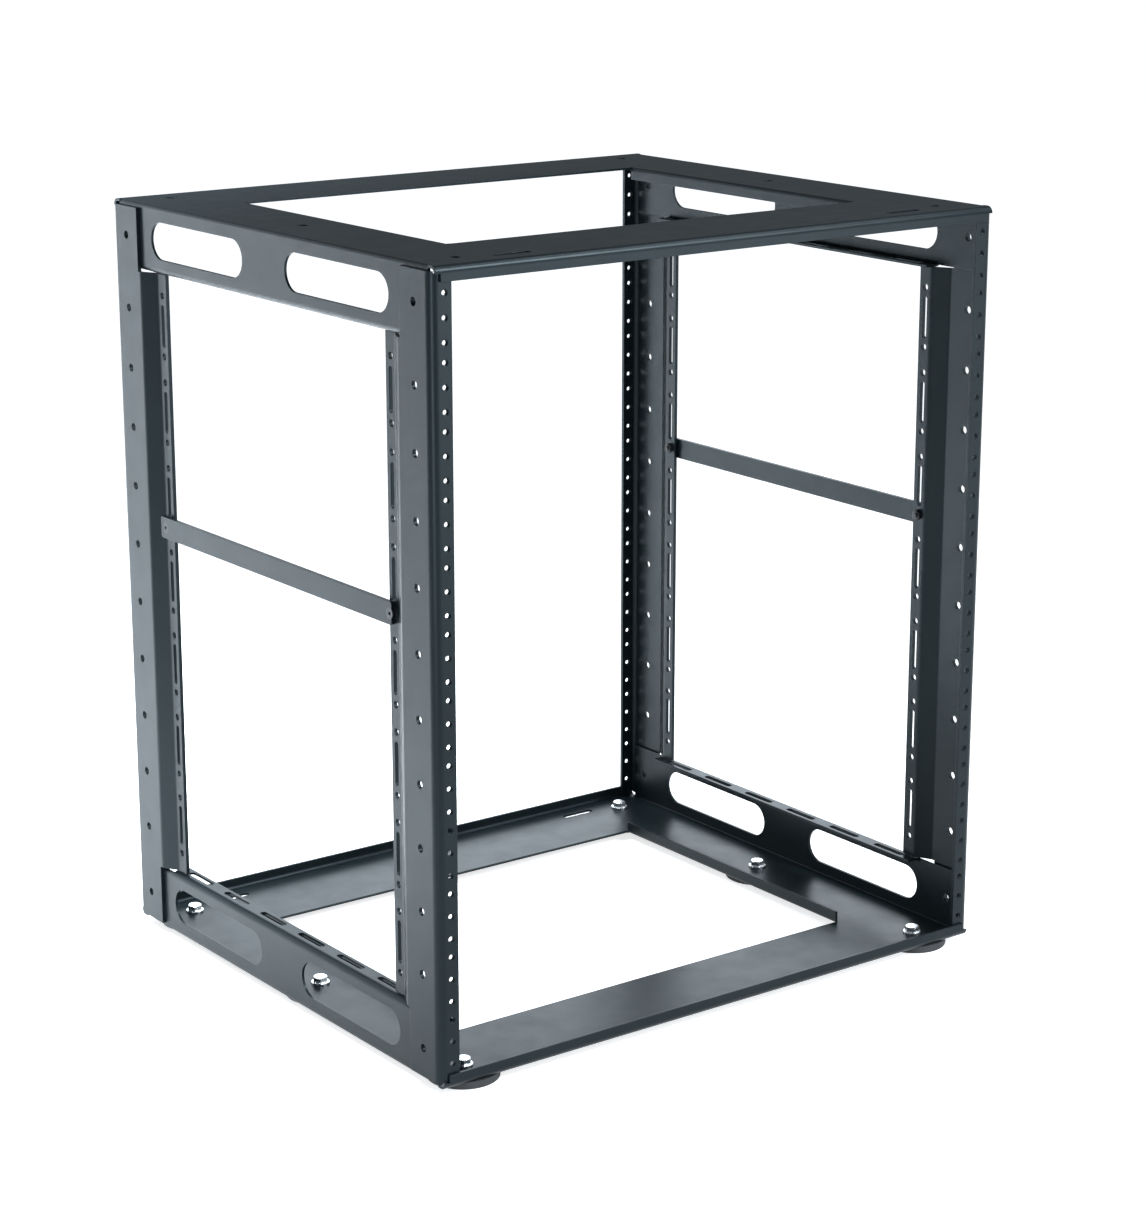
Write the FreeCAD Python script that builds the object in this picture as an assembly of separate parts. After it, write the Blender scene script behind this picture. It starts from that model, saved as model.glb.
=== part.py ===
"""Open-frame equipment rack of folded sheet steel, on round feet.

Millimetres, +Z up, the front faces -Y. The origin is on the floor, under the middle of the rack.
"""
import FreeCAD
import Part

import math
import os

Vec = FreeCAD.Vector

# Rack standard
UNIT = 44.45                # height of one rack unit
UNITS = 12
UNIT_HOLE_IN = 6.35         # outer rack holes of a unit in from its ends
RACK_HOLE = 4.8             # full diameter of the tapped thread
RACK_HOLE_IN = 10.35        # rack holes in from the web's face, which leaves 465.1 between the columns

# Overall sizes
WIDTH = 485.8               # over the posts' webs
DEPTH = 414.1               # over the posts' front and rear rack flanges
PAN_RISE = 11.1             # from the last unit to a pan's outer face

# Posts
POST_SHEET = 2.7
POST_BEND = 3.6             # inside radius
RACK_FLANGE = 15.9          # width of the rack flange
WEB = 38.8                  # rack flange's face to the start of the step
STEP_RUN = 13.0             # the step along the depth
STEP_IN = 7.0               # the step towards the inside
LIP = 11.5                  # flat lip beyond the step
POST_IN = 3.5               # posts' ends in from the pans' outer faces
LIP_CLEAR = 0.5             # between the lip's ends and the pans' panels
SIDE_HOLE = 6.0
SIDE_HOLE_IN = 19.8         # side holes behind the rack flange's face
LIP_HOLE = 5.0
LIP_GROUPS = 7              # each group is a hole, a slot and a hole
LIP_PITCH = 63.5
LIP_SPREAD = 44.45          # between the two holes of a group
LIP_SLOT = 31.0
LIP_SLOT_WIDTH = 4.1

# Pans
PAN_SHEET = 1.9
PAN_LIP = 10.4              # height of the front and rear lips
PAN_LIP_BEND = 3.1          # inside radius of the lips
PAN_FOLD = 0.8              # inside radius of the crisp folds
PAN_CORNER = 6.6            # panels and the lips' flats stop this far from the corners
PANEL = 49.0                # height of the side panels
PANEL_FLANGE = 14.6         # width of the panels' inward flange
PANEL_FLANGE_BEND = 2.6     # inside radius
PANEL_FLANGE_LENGTH = 316.0
HAND_SLOT = 127.0
HAND_SLOT_HEIGHT = 27.0
HAND_SLOT_PITCH = 182.6
LACING_SLOT = 32.5
LACING_SLOT_WIDTH = 5.0
LACING_SLOTS = 6
LACING_PITCH = 52.2
CUTOUT_SIDE = 66.3          # web's face to the cut-out
CUTOUT_END = 75.2           # rack flange's face to the cut-out
CUTOUT_FLANGE = 9.5         # raised edge along the cut-out's sides
CUTOUT_RELIEF = 1.0         # gap at each end of that edge
TIE_SLOT = 30.0
TIE_SLOT_WIDTH = 6.0
TIE_SLOT_SIDE = 73.4        # tie slots in from the web's face
TIE_SLOT_IN = 15.5          # tie slots in from the rear rack flange's face

# Brace bars
BAR_HEIGHT = 15.9
BAR_SHEET = 3.0
BAR_CORNER = 2.0
BAR_END = 53.1              # rack flange's face to the bars' ends
BAR_BACK = 2.2              # the bars sit this much to the rear
BAR_GROUP = 3               # lip group, counted from the top, whose lower hole carries the bar
BRACE_BOLT = 4.0
BRACE_HEAD = 7.6            # countersunk head
BRACE_SOCKET = 2.5          # across flats
BRACE_SOCKET_DEPTH = 1.4
BRACE_WASHER = 9.0
BRACE_WASHER_HEIGHT = 1.0   # keeps the bars off the lips
BRACE_NUT = 7.0             # across flats
BRACE_NUT_HEIGHT = 3.2
BRACE_TIP = 1.2             # thread beyond the nut

# Feet and their bolts
FOOT = 51.0
FOOT_HEIGHT = 5.6
FOOT_ROUND = 1.2
FOOT_SIDE = 35.0            # feet in from the web's face
FOOT_IN = 23.8              # corner feet behind the rack flange's face
FOOT_BOLT = 6.0
FOOT_BOLT_DEPTH = 4.0       # thread inside the foot
FOOT_BOLT_HOLE = 7.0        # hole in the pan
HEX = 10.0                  # across flats
HEX_HEIGHT = 4.0
WASHER = 13.5
WASHER_HEIGHT = 1.4
BEVEL = 30                  # degrees, on the corners of hexagons
BEVEL_TIP = 0.95            # the bevel's inner end, as a share of the flats

# Levels and planes that follow from those sizes
BASE = FOOT_HEIGHT
SPAN = UNIT * UNITS
UNIT_ZERO = BASE + PAN_RISE
TOP = UNIT_ZERO + SPAN + PAN_RISE
MIDDLE = (BASE + TOP) / 2
FRONT = -DEPTH / 2
LEFT = -WIDTH / 2
PANEL_FACE = WIDTH / 2 - POST_SHEET
LIP_FACE = LEFT + STEP_IN
LIP_END = WEB + STEP_RUN + LIP
LIP_MIDDLE = FRONT + LIP_END - LIP / 2
LIP_LOW = BASE + PANEL + LIP_CLEAR
SLOT_LEVEL = PANEL / 2
CUTOUT_X = WIDTH / 2 - CUTOUT_SIDE
CUTOUT_Y = DEPTH / 2 - CUTOUT_END
BAR_FACE = LIP_FACE - BRACE_WASHER_HEIGHT - BAR_SHEET
BAR_LEVEL = MIDDLE + ((LIP_GROUPS + 1) / 2 - BAR_GROUP) * LIP_PITCH - LIP_SPREAD / 2


def bent_sheet(points, thickness, radii):
    """Face in the XY plane: a sheet centred on the points' line, with inside bend radii."""
    points = [Vec(x, y, 0) for x, y in points]
    runs = [(b - a).normalize() for a, b in zip(points, points[1:])]
    sides = [[], []]
    for side, sign in enumerate((1, -1)):
        start = points[0] + normal(runs[0]) * sign * thickness / 2
        for corner, before, after, radius in zip(points[1:], runs, runs[1:], radii):
            turn = math.atan2(before.cross(after).z, before.dot(after))
            middle = radius + thickness / 2
            back = middle * math.tan(abs(turn) / 2)
            inward = math.copysign(1, turn)
            centre = corner - before * back + normal(before) * inward * middle
            bend = middle - inward * sign * thickness / 2
            spokes = [-normal(before), -(normal(before) + normal(after)).normalize(), -normal(after)]
            arc = [centre + spoke * inward * bend for spoke in spokes]
            sides[side].append(Part.makeLine(start, arc[0]))
            sides[side].append(Part.Arc(*arc).toShape())
            start = arc[2]
        end = points[-1] + normal(runs[-1]) * sign * thickness / 2
        sides[side].append(Part.makeLine(start, end))
    caps = []
    for place in (0, -1):
        vertex = [line[place].Vertexes[place].Point for line in sides]
        caps.append(Part.makeLine(*vertex))
    wire = Part.Wire(Part.__sortEdges__(sides[0] + sides[1] + caps))
    return Part.Face(wire)


def normal(direction):
    """Left-hand normal of a direction in the XY plane."""
    return Vec(-direction.y, direction.x, 0)


def box(low, high):
    """Box between two corners."""
    size = [b - a for a, b in zip(low, high)]
    return Part.makeBox(*size, Vec(*low))


def rod(diameter, length, start, axis):
    """Round bar from a point along an axis."""
    return Part.makeCylinder(diameter / 2, length, Vec(*start), Vec(*axis))


def slot(length, width, depth, centre, along, through):
    """Obround cutter centred on a point, long in one direction and cutting through another."""
    along, through = Vec(*along), Vec(*through)
    half = along * ((length - width) / 2)
    across = along.cross(through) * (width / 2)
    start = Vec(*centre) - through * (depth / 2)
    corners = [start - half - across, start + half - across, start + half + across, start - half + across]
    ends = [start + half + along * (width / 2), start - half - along * (width / 2)]
    edges = [
        Part.makeLine(corners[0], corners[1]),
        Part.Arc(corners[1], ends[0], corners[2]).toShape(),
        Part.makeLine(corners[2], corners[3]),
        Part.Arc(corners[3], ends[1], corners[0]).toShape(),
    ]
    return Part.Face(Part.Wire(edges)).extrude(through * depth)


def hexagon(across_flats, height, start, axis):
    """Hexagonal prism from a point along an axis, its far corners bevelled by a cone."""
    corner = across_flats / math.sqrt(3)
    turns = [k * math.pi / 3 for k in range(7)]
    points = [Vec(corner * math.cos(turn), corner * math.sin(turn), 0) for turn in turns]
    prism = Part.Face(Part.makePolygon(points)).extrude(Vec(0, 0, height))
    tip = across_flats * BEVEL_TIP / 2
    prism = prism.common(Part.makeCone(tip + height / math.tan(math.radians(BEVEL)), tip, height))
    prism.Placement = FreeCAD.Placement(Vec(*start), FreeCAD.Rotation(Vec(0, 0, 1), Vec(*axis)))
    return prism


def flip(shape, axis):
    """Mirror image in the middle plane across X or Y."""
    return shape.mirror(Vec(0, 0, 0), Vec(*axis))


def post():
    """Front left upright, between the flat sheets of the pans."""
    half = POST_SHEET / 2
    lip_line = STEP_IN + half
    section = [
        (RACK_FLANGE, half),
        (half, half),
        (half, WEB),
        (lip_line, WEB + STEP_RUN),
        (lip_line, LIP_END),
    ]
    face = bent_sheet(section, POST_SHEET, [POST_BEND] * 3)
    shape = face.extrude(Vec(0, 0, TOP - BASE - 2 * POST_IN))
    shape.translate(Vec(LEFT, FRONT, BASE + POST_IN))
    return shape.cut(post_ends() + post_holes()).removeSplitter()


def post_ends():
    """What is cut away at both ends so that the pans fit between the posts."""
    bend = POST_SHEET + POST_BEND
    web_end = FRONT + WEB - bend / 2
    lip_bend = PAN_SHEET + PAN_LIP_BEND
    cuts = []
    for low, high in ((BASE, LIP_LOW), (2 * MIDDLE - LIP_LOW, TOP)):
        cuts.append(box((LEFT - bend, web_end, low), (LEFT + WIDTH / 4, FRONT + LIP_END + bend, high)))
    for low, high in ((BASE, BASE + lip_bend), (TOP - lip_bend, TOP)):
        cuts.append(box((LEFT + POST_SHEET, FRONT - bend, low), (LEFT + WIDTH / 4, FRONT + bend, high)))
    return cuts


def post_holes():
    """Rack holes, side holes and the lip's holes and slots."""
    cuts = []
    column = LEFT + RACK_HOLE_IN
    for unit in range(UNITS):
        for rise in (UNIT_HOLE_IN, UNIT / 2, UNIT - UNIT_HOLE_IN):
            level = UNIT_ZERO + unit * UNIT + rise
            cuts.append(rod(RACK_HOLE, 3 * POST_SHEET, (column, FRONT - POST_SHEET, level), (0, 1, 0)))
    for level in side_hole_levels():
        start = (LEFT - POST_SHEET, FRONT + SIDE_HOLE_IN, level)
        cuts.append(rod(SIDE_HOLE, 3 * POST_SHEET, start, (1, 0, 0)))
    lip_middle = LIP_FACE + POST_SHEET / 2
    for group in range(LIP_GROUPS):
        level = MIDDLE + (group - (LIP_GROUPS - 1) / 2) * LIP_PITCH
        centre = (lip_middle, LIP_MIDDLE, level)
        cuts.append(slot(LIP_SLOT, LIP_SLOT_WIDTH, 3 * POST_SHEET, centre, (0, 0, 1), (1, 0, 0)))
        for hole in (level - LIP_SPREAD / 2, level + LIP_SPREAD / 2):
            start = (LIP_FACE - POST_SHEET, LIP_MIDDLE, hole)
            cuts.append(rod(LIP_HOLE, 3 * POST_SHEET, start, (1, 0, 0)))
    return cuts


def side_hole_levels():
    """One hole in the middle of each unit but the end ones, and one beside each pan's hand slots."""
    levels = [UNIT_ZERO + (unit + 0.5) * UNIT for unit in range(1, UNITS - 1)]
    return [BASE + SLOT_LEVEL] + levels + [TOP - SLOT_LEVEL]


def pan():
    """Bottom pan: a folded tray with its outer face on Z = 0; the top pan is the same, turned over."""
    sheet = PAN_SHEET
    half = sheet / 2
    blend = CUTOUT_X + CUTOUT_FLANGE
    side_line = [
        (blend, half),
        (PANEL_FACE - half, half),
        (PANEL_FACE - half, PANEL - half),
        (PANEL_FACE - PANEL_FLANGE, PANEL - half),
    ]
    edge_line = [(CUTOUT_X + half, CUTOUT_FLANGE), (CUTOUT_X + half, half), (blend, half)]
    lip_line = [(-DEPTH / 2 - half, PAN_LIP), (-DEPTH / 2 - half, half), (-CUTOUT_Y, half)]

    side = along_depth(bent_sheet(side_line, sheet, [PAN_FOLD, PANEL_FLANGE_BEND]), DEPTH - 2 * PAN_CORNER)
    edge_end = CUTOUT_Y - CUTOUT_RELIEF
    edge = along_depth(bent_sheet(edge_line, sheet, [PAN_FOLD]), 2 * edge_end)
    strip = box((CUTOUT_X, -CUTOUT_Y, 0), (blend, CUTOUT_Y, sheet))
    strip = strip.cut(box((CUTOUT_X, -edge_end, 0), (blend, edge_end, sheet)))
    front = along_width(bent_sheet(lip_line, sheet, [PAN_LIP_BEND]), WIDTH - 2 * PAN_CORNER)
    bend = along_width(bent_sheet(lip_line, sheet, [PAN_LIP_BEND]), 2 * PANEL_FACE)
    bend_end = (PANEL_FACE, PAN_CORNER - DEPTH / 2, sheet + PAN_LIP_BEND)
    bend = bend.common(box((-PANEL_FACE, -DEPTH, 0), bend_end))
    front = front.fuse(bend)

    pieces = [side, edge, strip]
    pieces = pieces + [flip(piece, (1, 0, 0)) for piece in pieces]
    pieces = pieces + [front, flip(front, (0, 1, 0))]
    shape = pieces[0].fuse(pieces[1:])
    return shape.cut(pan_cuts()).removeSplitter()


def along_depth(face, length):
    """Section drawn as X, Z and drawn out along the depth, centred."""
    face.rotate(Vec(0, 0, 0), Vec(1, 0, 0), 90)
    face.translate(Vec(0, length / 2, 0))
    return face.extrude(Vec(0, -length, 0))


def along_width(face, length):
    """Section drawn as Y, Z and drawn out along the width, centred."""
    face.rotate(Vec(0, 0, 0), Vec(1, 1, 1), 120)
    face.translate(Vec(-length / 2, 0, 0))
    return face.extrude(Vec(length, 0, 0))


def pan_cuts():
    """Hand slots, lacing slots, side holes, foot holes and tie slots of a pan."""
    cuts = []
    flange_level = PANEL - PAN_SHEET / 2
    flange_flat = PANEL_FLANGE - PAN_SHEET - PANEL_FLANGE_BEND
    flange_middle = PANEL_FACE - PANEL_FLANGE + flange_flat / 2
    flange_end = PANEL_FLANGE_LENGTH / 2
    above_slots = SLOT_LEVEL + HAND_SLOT_HEIGHT / 2
    for side in (-1, 1):
        for row in (-0.5, 0.5):
            centre = (side * PANEL_FACE, row * HAND_SLOT_PITCH, SLOT_LEVEL)
            cuts.append(slot(HAND_SLOT, HAND_SLOT_HEIGHT, 6 * PAN_SHEET, centre, (0, 1, 0), (1, 0, 0)))
        for row in range(LACING_SLOTS):
            place = (row - (LACING_SLOTS - 1) / 2) * LACING_PITCH
            centre = (side * flange_middle, place, flange_level)
            cuts.append(slot(LACING_SLOT, LACING_SLOT_WIDTH, 3 * PAN_SHEET, centre, (0, 1, 0), (0, 0, 1)))
        centre = (side * (WIDTH / 2 - TIE_SLOT_SIDE), DEPTH / 2 - TIE_SLOT_IN, PAN_SHEET / 2)
        cuts.append(slot(TIE_SLOT, TIE_SLOT_WIDTH, 3 * PAN_SHEET, centre, (1, 0, 0), (0, 0, 1)))
        for end in (-1, 1):
            hole = (side * PANEL_FACE - 3 * PAN_SHEET, end * (DEPTH / 2 - SIDE_HOLE_IN), SLOT_LEVEL)
            cuts.append(rod(SIDE_HOLE, 6 * PAN_SHEET, hole, (1, 0, 0)))
            low, high = sorted((end * flange_end, end * DEPTH / 2))
            flange_edge = PANEL_FACE - PANEL_FLANGE - PAN_SHEET
            inner, outer = sorted((side * (PANEL_FACE - PAN_SHEET), side * flange_edge))
            cuts.append(box((inner, low, above_slots), (outer, high, PANEL + PAN_SHEET)))
    for x, y in foot_places():
        cuts.append(rod(FOOT_BOLT_HOLE, 3 * PAN_SHEET, (x, y, -PAN_SHEET), (0, 0, 1)))
    return cuts


def foot_places():
    """Places of the feet, rear to front on each side."""
    row = DEPTH / 2 - FOOT_IN
    column = WIDTH / 2 - FOOT_SIDE
    return [(side * column, place) for side in (-1, 1) for place in (row, 0, -row)]


def countersink(end):
    """Cone of a brace bolt's head, flush with the left bar's outer face, at the front or the rear."""
    depth = (BRACE_HEAD - BRACE_BOLT) / 2
    place = Vec(BAR_FACE, end * LIP_MIDDLE, BAR_LEVEL)
    return Part.makeCone(BRACE_HEAD / 2, BRACE_BOLT / 2, depth, place, Vec(1, 0, 0))


def brace_bar():
    """Left brace bar, flat along the outside of the lips."""
    half = DEPTH / 2 - BAR_END
    low = (BAR_FACE, BAR_BACK - half, BAR_LEVEL - BAR_HEIGHT / 2)
    bar = box(low, (BAR_FACE + BAR_SHEET, BAR_BACK + half, BAR_LEVEL + BAR_HEIGHT / 2))
    corners = [edge for edge in bar.Edges if abs(edge.Length - BAR_SHEET) < BAR_SHEET / 100]
    bar = bar.makeFillet(BAR_CORNER, corners)
    cuts = []
    for end in (-1, 1):
        start = (BAR_FACE - BAR_SHEET, end * LIP_MIDDLE, BAR_LEVEL)
        cuts.append(rod(BRACE_BOLT, 3 * BAR_SHEET, start, (1, 0, 0)))
        cuts.append(countersink(end))
    return bar.cut(cuts)


def brace_bolt():
    """Front left brace bolt: a countersunk head in the bar, a washer, and a nut inside the lip."""
    along = (1, 0, 0)
    nut_face = LIP_FACE + POST_SHEET
    tip = nut_face + BRACE_NUT_HEIGHT + BRACE_TIP
    place = [(x, LIP_MIDDLE, BAR_LEVEL) for x in (BAR_FACE, BAR_FACE + BAR_SHEET, nut_face)]
    shank = rod(BRACE_BOLT, tip - BAR_FACE, place[0], along)
    washer = rod(BRACE_WASHER, BRACE_WASHER_HEIGHT, place[1], along)
    nut = hexagon(BRACE_NUT, BRACE_NUT_HEIGHT, place[2], along)
    bolt = shank.fuse([countersink(1), washer, nut])
    socket = hexagon(BRACE_SOCKET, BRACE_SOCKET_DEPTH, place[0], along)
    return bolt.cut(socket).removeSplitter()


def foot(x, y):
    """Round foot under the bottom pan, with a hole for its bolt."""
    disc = rod(FOOT, FOOT_HEIGHT, (x, y, 0), (0, 0, 1))
    rim = [edge for edge in disc.Edges if edge.BoundBox.ZMax < FOOT_HEIGHT / 2]
    disc = disc.makeFillet(FOOT_ROUND, rim)
    return disc.cut(rod(FOOT_BOLT, FOOT_BOLT_DEPTH, (x, y, BASE - FOOT_BOLT_DEPTH), (0, 0, 1)))


def foot_bolt(x, y):
    """Hex bolt and washer on the pan's floor, screwed into the foot."""
    floor = BASE + PAN_SHEET
    shank = rod(FOOT_BOLT, FOOT_BOLT_DEPTH + PAN_SHEET, (x, y, BASE - FOOT_BOLT_DEPTH), (0, 0, 1))
    washer = rod(WASHER, WASHER_HEIGHT, (x, y, floor), (0, 0, 1))
    head = hexagon(HEX, HEX_HEIGHT, (x, y, floor + WASHER_HEIGHT), (0, 0, 1))
    return shank.fuse([washer, head]).removeSplitter()


def build():
    """Every piece of the rack by name."""
    nodes = {}
    tray = pan()
    nodes["bottom_pan"] = tray.translated(Vec(0, 0, BASE))
    nodes["top_pan"] = tray.rotated(Vec(0, 0, 0), Vec(1, 0, 0), 180).translated(Vec(0, 0, TOP))
    for name, piece in (("post", post()), ("brace_bolt", brace_bolt())):
        nodes["front_left_" + name] = piece
        nodes["front_right_" + name] = flip(piece, (1, 0, 0))
        nodes["rear_left_" + name] = flip(piece, (0, 1, 0))
        nodes["rear_right_" + name] = flip(flip(piece, (1, 0, 0)), (0, 1, 0))
    bar = brace_bar()
    nodes["left_brace_bar"] = bar
    nodes["right_brace_bar"] = flip(bar, (1, 0, 0))
    places = ["rear_left", "middle_left", "front_left", "rear_right", "middle_right", "front_right"]
    for place, (x, y) in zip(places, foot_places()):
        nodes[place + "_foot"] = foot(x, y)
        nodes[place + "_foot_bolt"] = foot_bolt(x, y)
    return nodes


def main():
    os.makedirs("parts", exist_ok=True)
    for name, shape in build().items():
        print(name, len(shape.Solids), shape.isValid(), round(shape.Volume))
        shape.exportStep("parts/" + name + ".step")


main()
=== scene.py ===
"""Looks of the open-frame rack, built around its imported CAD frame.

Lengths are metres in the CAD's own frame: the origin is on the floor under the middle, +Z is up and the
front faces -Y. The folded sheets, bolts and feet are the CAD nodes themselves, with procedural finishes.
The thread ridges in the rack holes are the only pieces added.
"""

import math
from collections import namedtuple

import bmesh
import bpy
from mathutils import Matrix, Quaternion, Vector


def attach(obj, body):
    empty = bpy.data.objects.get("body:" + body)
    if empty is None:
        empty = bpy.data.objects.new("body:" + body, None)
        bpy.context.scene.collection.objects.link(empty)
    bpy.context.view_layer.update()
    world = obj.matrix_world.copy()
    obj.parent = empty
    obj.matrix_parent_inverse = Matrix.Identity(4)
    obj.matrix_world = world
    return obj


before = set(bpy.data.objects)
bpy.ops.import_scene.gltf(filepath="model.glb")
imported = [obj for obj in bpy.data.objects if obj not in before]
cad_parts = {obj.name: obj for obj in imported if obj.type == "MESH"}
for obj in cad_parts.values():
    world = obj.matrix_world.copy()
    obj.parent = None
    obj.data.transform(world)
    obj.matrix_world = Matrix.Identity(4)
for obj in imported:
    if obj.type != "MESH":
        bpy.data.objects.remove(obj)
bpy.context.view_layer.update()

# Camera: found by fitting the rack's corners and holes to the photograph.
PHOTO_WIDTH = 1146                # pixels
FOCAL_PIXELS = 3002.6
SENSOR = 36.0                     # millimetres
CAMERA_PLACE = (-1.28165, -1.75095, 0.84157)
CAMERA_TURN = math.radians(36.669)
CAMERA_DOWN = math.radians(15.105)
CLIP_NEAR = 0.05
CLIP_FAR = 200

# Floor and room.
WHITE = (1, 1, 1, 1)
FLOOR_HALF = 30.0
FLOOR_COLOUR = (0.80, 0.80, 0.80, 1)
FLOOR_ROUGHNESS = 0.9
FLOOR_GLOW = 0.72                 # keeps the floor white to the camera and in gloss
ROOM_LIGHT = 0.42                 # even light on the rack
ROOM_DIM = 0.02                   # the room in gloss, just above the horizon
ROOM_CEILING = 0.31               # the room in gloss, higher up
CEILING_RISE = (0.06, 0.24)       # sines of the elevations between those two
HORIZON_FADE = (-0.10, 0.0)       # sines of the elevations over which the white below the horizon ends

# Lamps: wide and high are the sides of the panel, spread and roll are degrees, power is watts.
LAMP_COLOUR = (0.845, 0.925, 1.0)
Lamp = namedtuple("Lamp", "name place aim wide high power spread roll", defaults=(180, 0))
LAMPS = (
    # The floor and the air behind on the left, which the left faces and their bends mirror.
    Lamp("rear_left_lamp", place=(-1.0, 1.83, 1.0), aim=(-1.0, 1.83, 0.0),
         wide=1.0, high=3.6, power=68, spread=75, roll=28),
    Lamp("rear_left_wall", place=(-1.83, 3.17, 0.55), aim=(-0.24, 0.2, 0.4), wide=1.1, high=1.1, power=21),
    Lamp("rear_left_sky", place=(-1.5, 3.3, 1.9), aim=(-0.24, 0.2, 0.5), wide=1.8, high=1.5, power=17),
    Lamp("left_fill", place=(-0.65, 0.12, 0.8), aim=(-0.65, 0.12, 0.0),
         wide=0.5, high=0.7, power=3.5, spread=75),
    # Main light from the front right, and a softer one above it.
    Lamp("key_lamp", place=(1.1, -1.6, 1.8), aim=(-0.1, -0.2, 0.5), wide=0.4, high=0.5, power=48),
    Lamp("right_lamp", place=(1.3, -0.6, 2.3), aim=(0.0, -0.2, 0.56), wide=0.6, high=0.6, power=12),
    # Sheen of the front flanges, and above it, dim, of the top pan's front bend.
    Lamp("front_box", place=(0.5, -1.25, 0.39), aim=(0.0, 0.0, 0.39), wide=1.1, high=0.38, power=6.6),
    Lamp("front_sky", place=(0.5, -1.25, 0.77), aim=(0.0, 0.0, 0.77), wide=1.1, high=0.38, power=1.4),
    # Sheen on the floor of the bottom pan, and on the front left bend.
    Lamp("rear_strip", place=(0.465, 0.571, 0.314), aim=(-0.115, -0.149, -0.066),
         wide=0.92, high=0.43, power=1.1, spread=90),
    Lamp("left_strip", place=(-1.61, -1.14, 0.25), aim=(-0.235, -0.207, 0.25), wide=0.3, high=0.4, power=9),
)

# Rack holes and the thread cut in them.
UNIT = 0.04445
UNITS = 12
UNIT_HOLE_IN = 0.00635
UNIT_ZERO = 0.0167
COLUMN = 0.23255
FLANGE_FACE = 0.20705
FLANGE_SHEET = 0.0027
THREAD_ROOT = 0.00242
THREAD_TIP = 0.00172
THREAD_PITCH = 0.00079
THREAD_HALF = 0.42                # half the width of the ridge, as a share of the pitch
THREAD_END = 0.00034              # from the ends of the ridge to the faces of the sheet
THREAD_END_RISE = 0.1             # height of the ridge at its ends, as a share
THREAD_RISE = 8                   # how fast it grows from there, in shares a turn
THREAD_STEPS = 24                 # rings a turn

# Finishes: edges are found where the rounded normal agrees with the flat one by less than the given shares.
BEVEL_SAMPLES = 4
SHEET_ROUNDING = 0.0006
THREAD_ROUNDING = 0.00004
BOLT_ROUNDING = 0.0003
SHEET_EDGE = (0.86, 0.995)
BOLT_EDGE = (0.80, 0.99)
BOLT_EDGE_SHARE = 0.5
NOISE_RANGE = (0.3, 0.7)          # where most values of a noise lie
NOISE_MIDDLE = (0.35, 0.65)

COAT_DARK = (0.004, 0.007, 0.0085, 1)
COAT_LIGHT = (0.007, 0.011, 0.0125, 1)
COAT_WORN = (0.060, 0.068, 0.072, 1)
COAT_WORN_SHARE = 0.6
COAT_WORN_RANGE = (0.42, 0.68)
COAT_WORN_ROUGHNESS = 0.12        # added where the coat is worn
COAT_ROUGHNESS = (0.31, 0.37)
COAT_GRAIN = 0.35                 # share of the fine grain in the orange peel
COAT_SPECULAR = 0.18
COAT_TINT = (0.80, 0.94, 1.0, 1)

ZINC_DULL = (0.74, 0.75, 0.75, 1)
ZINC_BRIGHT = (0.86, 0.87, 0.88, 1)
ZINC_EDGE = (0.93, 0.94, 0.95, 1)
ZINC_ROUGHNESS = (0.20, 0.34)

OXIDE_DARK = (0.012, 0.013, 0.015, 1)
OXIDE_LIGHT = (0.021, 0.022, 0.024, 1)
OXIDE_EDGE = (0.12, 0.12, 0.12, 1)
OXIDE_ROUGHNESS = (0.30, 0.46)
OXIDE_METALLIC = 0.6

RUBBER_DARK = (0.040, 0.041, 0.042, 1)
RUBBER_DUSTY = (0.060, 0.060, 0.060, 1)
RUBBER_DUST_RANGE = (0.35, 0.7)
RUBBER_ROUGHNESS = (0.72, 0.88)
RUBBER_SPECULAR = 0.35


def place_in_scene(made):
    bpy.context.scene.collection.objects.link(made)


def camera():
    """The photograph's camera: square pixels, no shift."""
    data = bpy.data.cameras.new("camera")
    data.sensor_fit = "HORIZONTAL"
    data.sensor_width = SENSOR
    data.lens = SENSOR * FOCAL_PIXELS / PHOTO_WIDTH
    data.clip_start = CLIP_NEAR
    data.clip_end = CLIP_FAR
    made = bpy.data.objects.new("camera", data)
    made.location = CAMERA_PLACE
    made.rotation_euler = (math.pi / 2 - CAMERA_DOWN, 0, -CAMERA_TURN)
    place_in_scene(made)
    bpy.context.scene.camera = made


class Nodes:
    """A short way to write a node tree."""

    def __init__(self, tree):
        self.tree = tree

    def put(self, socket, value):
        """Links a socket to an output, or sets it to a plain value."""
        if isinstance(value, bpy.types.NodeSocket):
            self.tree.links.new(value, socket)
        else:
            socket.default_value = value

    def add(self, kind, inputs=None, **settings):
        node = self.tree.nodes.new("ShaderNode" + kind)
        for name, value in settings.items():
            setattr(node, name, value)
        for name, value in (inputs or {}).items():
            self.put(node.inputs[name], value)
        return node

    def noise(self, place, scale, detail, rough):
        inputs = {"Vector": place, "Scale": scale, "Detail": detail, "Roughness": rough}
        return self.add("TexNoise", inputs).outputs["Fac"]

    def spread(self, value, low, high, to_low=0.0, to_high=1.0):
        inputs = {"Value": value, "From Min": low, "From Max": high, "To Min": to_low, "To Max": to_high}
        return self.add("MapRange", inputs).outputs["Result"]

    def math(self, operation, first, second):
        return self.add("Math", {0: first, 1: second}, operation=operation).outputs[0]

    def blend(self, factor, first, second):
        node = self.add("Mix", data_type="RGBA")
        for name, kind, value in (("Factor", "VALUE", factor), ("A", "RGBA", first), ("B", "RGBA", second)):
            self.put(next(s for s in node.inputs if s.name == name and s.type == kind), value)
        return next(s for s in node.outputs if s.type == "RGBA")

    def bump(self, height, strength, distance, normal=None):
        inputs = {"Height": height, "Strength": strength, "Distance": distance}
        if normal is not None:
            inputs["Normal"] = normal
        return self.add("Bump", inputs).outputs["Normal"]


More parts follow.
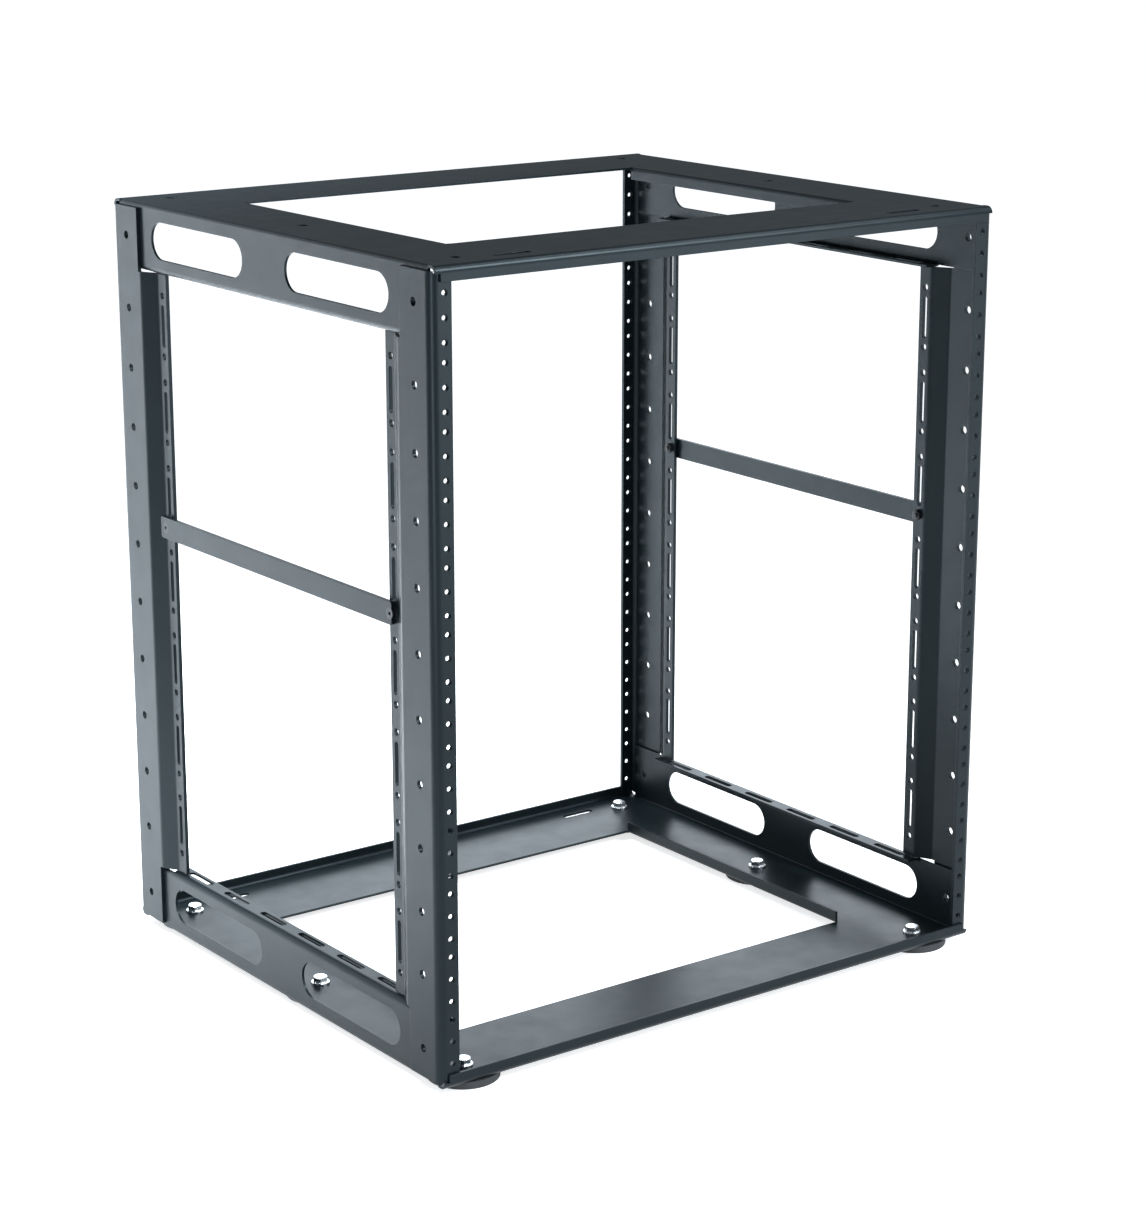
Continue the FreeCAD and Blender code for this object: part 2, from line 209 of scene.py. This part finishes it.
def material(name):
    made = bpy.data.materials.new(name)
    made.use_nodes = True
    return made, Nodes(made.node_tree), made.node_tree.nodes["Principled BSDF"]


def finish(n, shader, **values):
    """Sets the shader's sockets: specular_tint stands for Specular Tint."""
    names = {socket.name.lower().replace(" ", "_"): socket for socket in shader.inputs}
    for name, value in values.items():
        n.put(names[name], value)


def edges(n, radius, agreement):
    """The rounded normal, and how near a point is to a sharp edge."""
    rounded = n.add("Bevel", {"Radius": radius}, samples=BEVEL_SAMPLES).outputs["Normal"]
    flat = n.add("NewGeometry").outputs["Normal"]
    agree = n.add("VectorMath", {0: rounded, 1: flat}, operation="DOT_PRODUCT").outputs["Value"]
    low, high = agreement
    return rounded, n.spread(agree, high, low)


def powder_coat(name, rounding):
    """Black semi-gloss powder coat: fine orange peel, faint mottling, thin and rubbed along the edges."""
    made, n, shader = material(name)
    place = n.add("TexCoord").outputs["Object"]
    rounded, edge = edges(n, rounding, SHEET_EDGE)
    mottle = n.noise(place, scale=9.0, detail=4.0, rough=0.6)
    cloud = n.noise(place, scale=55.0, detail=3.0, rough=0.55)
    peel = n.noise(place, scale=700.0, detail=2.0, rough=0.5)
    grain = n.noise(place, scale=2600.0, detail=1.0, rough=0.5)
    colour = n.blend(n.spread(mottle, *NOISE_RANGE), COAT_DARK, COAT_LIGHT)
    worn = n.math("MULTIPLY", edge, n.spread(cloud, *COAT_WORN_RANGE))
    colour = n.blend(n.math("MULTIPLY", worn, COAT_WORN_SHARE), colour, COAT_WORN)
    rough = n.spread(cloud, *NOISE_RANGE, *COAT_ROUGHNESS)
    rough = n.math("ADD", rough, n.math("MULTIPLY", worn, COAT_WORN_ROUGHNESS))
    height = n.math("ADD", peel, n.math("MULTIPLY", grain, COAT_GRAIN))
    bump = n.bump(height, strength=0.12, distance=0.00006, normal=rounded)
    finish(n, shader, base_color=colour, roughness=rough, normal=bump,
           specular_ior_level=COAT_SPECULAR, specular_tint=COAT_TINT)
    return made


def zinc():
    """Bright zinc plate on steel: finely brushed, with cloudy passivation."""
    made, n, shader = material("zinc")
    place = n.add("TexCoord").outputs["Object"]
    rounded, edge = edges(n, BOLT_ROUNDING, BOLT_EDGE)
    cloud = n.noise(place, scale=260.0, detail=4.0, rough=0.6)
    fine = n.noise(place, scale=1800.0, detail=3.0, rough=0.6)
    colour = n.blend(n.spread(cloud, *NOISE_MIDDLE), ZINC_DULL, ZINC_BRIGHT)
    colour = n.blend(n.math("MULTIPLY", edge, BOLT_EDGE_SHARE), colour, ZINC_EDGE)
    rough = n.spread(fine, *NOISE_RANGE, *ZINC_ROUGHNESS)
    bump = n.bump(fine, strength=0.2, distance=0.00005, normal=rounded)
    finish(n, shader, base_color=colour, roughness=rough, normal=bump, metallic=1.0)
    return made


def black_bolt():
    """Black oxide on steel: dark, slightly oily, paler where the edges are rubbed."""
    made, n, shader = material("black_bolt")
    place = n.add("TexCoord").outputs["Object"]
    rounded, edge = edges(n, BOLT_ROUNDING, BOLT_EDGE)
    cloud = n.noise(place, scale=420.0, detail=4.0, rough=0.6)
    fine = n.noise(place, scale=2400.0, detail=2.0, rough=0.6)
    colour = n.blend(n.spread(cloud, *NOISE_MIDDLE), OXIDE_DARK, OXIDE_LIGHT)
    colour = n.blend(n.math("MULTIPLY", edge, BOLT_EDGE_SHARE), colour, OXIDE_EDGE)
    rough = n.spread(cloud, *NOISE_RANGE, *OXIDE_ROUGHNESS)
    bump = n.bump(fine, strength=0.2, distance=0.00004, normal=rounded)
    finish(n, shader, base_color=colour, roughness=rough, normal=bump, metallic=OXIDE_METALLIC)
    return made


def rubber():
    """Moulded black rubber: matt, fine grained, a little dusty."""
    made, n, shader = material("rubber")
    place = n.add("TexCoord").outputs["Object"]
    cloud = n.noise(place, scale=70.0, detail=4.0, rough=0.6)
    grain = n.noise(place, scale=1500.0, detail=3.0, rough=0.6)
    colour = n.blend(n.spread(cloud, *RUBBER_DUST_RANGE), RUBBER_DARK, RUBBER_DUSTY)
    rough = n.spread(grain, *NOISE_RANGE, *RUBBER_ROUGHNESS)
    bump = n.bump(grain, strength=0.35, distance=0.0001)
    finish(n, shader, base_color=colour, roughness=rough, normal=bump, specular_ior_level=RUBBER_SPECULAR)
    return made


def dress():
    """Every CAD node takes a finish chosen by the ending of its name, set in all its material slots."""
    coat = powder_coat("powder_coat", SHEET_ROUNDING)
    by_ending = {"_foot_bolt": zinc(), "_brace_bolt": black_bolt(), "_foot": rubber()}
    for name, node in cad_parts.items():
        chosen = next((made for ending, made in by_ending.items() if name.endswith(ending)), coat)
        for holder in node.material_slots:
            holder.material = chosen


def thread_ridge(build, x, y, z, length):
    """One closed helical ridge in a hole along Y, fading out at both ends."""
    count = round(length / THREAD_PITCH * THREAD_STEPS)
    rings = []
    for k in range(count + 1):
        turn = 2 * math.pi * k / THREAD_STEPS
        along = y + length * k / count
        rise = min(1.0, THREAD_END_RISE + THREAD_RISE * min(k, count - k) / THREAD_STEPS)
        tip = THREAD_ROOT - (THREAD_ROOT - THREAD_TIP) * rise
        half = THREAD_HALF * THREAD_PITCH * rise
        ring = []
        for radius, step in ((THREAD_ROOT, -half), (tip, 0), (THREAD_ROOT, half)):
            corner = (x + radius * math.cos(turn), along + step, z + radius * math.sin(turn))
            ring.append(build.verts.new(corner))
        rings.append(ring)
    for before, after in zip(rings, rings[1:]):
        for k in range(len(before)):
            build.faces.new((before[k], before[k - 1], after[k - 1], after[k]))
    build.faces.new(rings[0])
    build.faces.new(rings[-1][::-1])


def threads():
    """Threads of the 36 rack holes of each post."""
    coat = powder_coat("thread_coat", THREAD_ROUNDING)
    length = FLANGE_SHEET - 2 * THREAD_END
    for side, side_name in ((-1, "left"), (1, "right")):
        for end, end_name in ((-1, "front"), (1, "rear")):
            build = bmesh.new()
            low = min(end * FLANGE_FACE, end * (FLANGE_FACE - FLANGE_SHEET)) + THREAD_END
            for unit in range(UNITS):
                for rise in (UNIT_HOLE_IN, UNIT / 2, UNIT - UNIT_HOLE_IN):
                    level = UNIT_ZERO + unit * UNIT + rise
                    thread_ridge(build, side * COLUMN, low, level, length)
            bmesh.ops.recalc_face_normals(build, faces=build.faces)
            mesh = bpy.data.meshes.new(f"{end_name}_{side_name}_threads")
            build.to_mesh(mesh)
            build.free()
            mesh.materials.append(coat)
            piece = bpy.data.objects.new(mesh.name, mesh)
            place_in_scene(piece)
            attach(piece, "root")


def stage():
    """A plain pale floor, white to the camera, in gloss and through glass, that keeps the rack's shadow."""
    mesh = bpy.data.meshes.new("floor")
    corners = [(-1, -1), (1, -1), (1, 1), (-1, 1)]
    mesh.from_pydata([(x * FLOOR_HALF, y * FLOOR_HALF, 0) for x, y in corners], [], [(0, 1, 2, 3)])
    floor = bpy.data.objects.new("floor", mesh)
    place_in_scene(floor)
    made, n, shader = material("floor")
    path = n.add("LightPath").outputs
    shown = n.math("MAXIMUM", path["Is Camera Ray"], path["Is Glossy Ray"])
    shown = n.math("MAXIMUM", shown, path["Is Transmission Ray"])
    finish(n, shader, base_color=FLOOR_COLOUR, roughness=FLOOR_ROUGHNESS, specular_ior_level=0.0,
           emission_color=WHITE, emission_strength=n.math("MULTIPLY", shown, FLOOR_GLOW))
    mesh.materials.append(made)


def room():
    """The world: white to the camera, and a soft even light on the rack.

    In gloss and through glass it is white below the horizon, and a dim room with a paler ceiling above.
    """
    world = bpy.data.worlds.new("room")
    bpy.context.scene.world = world
    world.use_nodes = True
    n = Nodes(world.node_tree)
    world.node_tree.nodes.clear()
    path = n.add("LightPath").outputs
    way = n.add("TexCoord").outputs["Generated"]
    up = n.add("SeparateXYZ", {0: way}).outputs["Z"]
    gloss = n.math("MAXIMUM", path["Is Glossy Ray"], path["Is Transmission Ray"])
    ceiling = n.spread(up, *CEILING_RISE, ROOM_DIM, ROOM_CEILING)
    backdrop = n.math("MAXIMUM", n.spread(up, *HORIZON_FADE, 1.0, 0.0), ceiling)
    level = n.math("ADD", n.math("MULTIPLY", gloss, backdrop), path["Is Camera Ray"])
    lit = n.math("SUBTRACT", 1.0, n.math("MAXIMUM", gloss, path["Is Camera Ray"]))
    level = n.math("ADD", level, n.math("MULTIPLY", lit, ROOM_LIGHT))
    colour = n.blend(path["Is Camera Ray"], (*LAMP_COLOUR, 1), WHITE)
    sky = n.add("Background", {"Color": colour, "Strength": level})
    n.add("OutputWorld", {"Surface": sky.outputs[0]})


def lamps():
    """Soft panels, each aimed along its own line and rolled about it."""
    for lamp in LAMPS:
        data = bpy.data.lights.new(lamp.name, "AREA")
        data.shape = "RECTANGLE"
        data.size = lamp.wide
        data.size_y = lamp.high
        data.energy = lamp.power
        data.color = LAMP_COLOUR
        data.spread = math.radians(lamp.spread)
        made = bpy.data.objects.new(lamp.name, data)
        made.location = lamp.place
        turn = (Vector(lamp.aim) - Vector(lamp.place)).to_track_quat("-Z", "Y")
        made.rotation_euler = (turn @ Quaternion((0, 0, 1), math.radians(lamp.roll))).to_euler()
        place_in_scene(made)


camera()
dress()
threads()
stage()
room()
lamps()
bpy.context.scene.view_settings.view_transform = "Standard"
